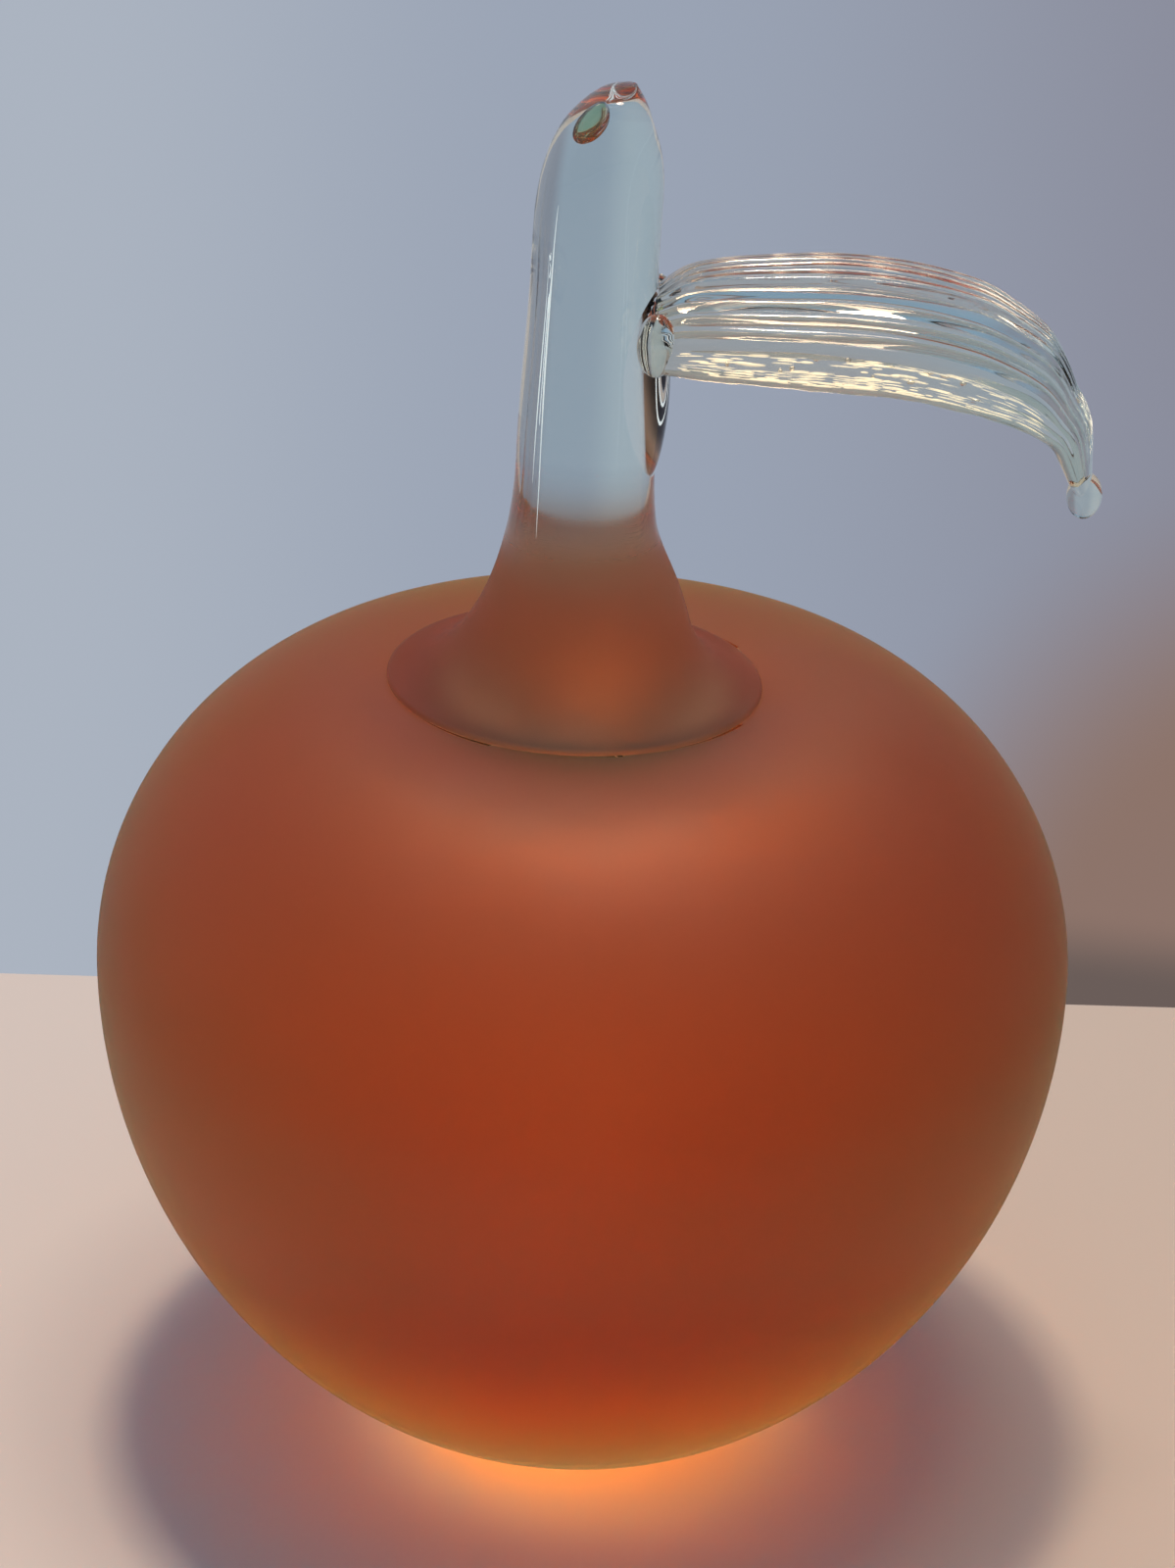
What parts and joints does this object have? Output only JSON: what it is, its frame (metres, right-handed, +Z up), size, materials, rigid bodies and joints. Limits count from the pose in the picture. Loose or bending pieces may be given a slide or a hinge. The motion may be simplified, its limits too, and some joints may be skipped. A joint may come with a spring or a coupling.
{
  "type": "art glass apple",
  "caption": "Hollow blown glass apple with a satin orange body, a clear stem that flares into a foot, and a clear ribbed leaf that arches out from the stem and droops to a drop.",
  "frame": {"origin": "on the table plane, at the body's axis, in the middle of the flat base", "axes": "+Z up along the body's axis; +X towards the leaf; -Y towards the viewer of the picture"},
  "size_m": [0.1, 0.1, 0.1443],
  "materials": {
    "satin_casing_glass": "clear glass, etched to an even satin on its outer face",
    "orange_glass": "orange glass, glossy inside",
    "clear_green_glass": "clear glass with a faint green tint, fire polished above and satin at the flared foot",
    "clear_leaf_glass": "clear glass with a faint green tint, fire polished, pressed with fine ribs"
  },
  "bodies": {
    "root": {"clear_casing": "satin_casing_glass", "colour_bubble": "orange_glass", "stem": "clear_green_glass", "join_pad": "clear_green_glass", "leaf_blade": "clear_leaf_glass", "tip_bead": "clear_leaf_glass"}
  },
  "joints": []
}
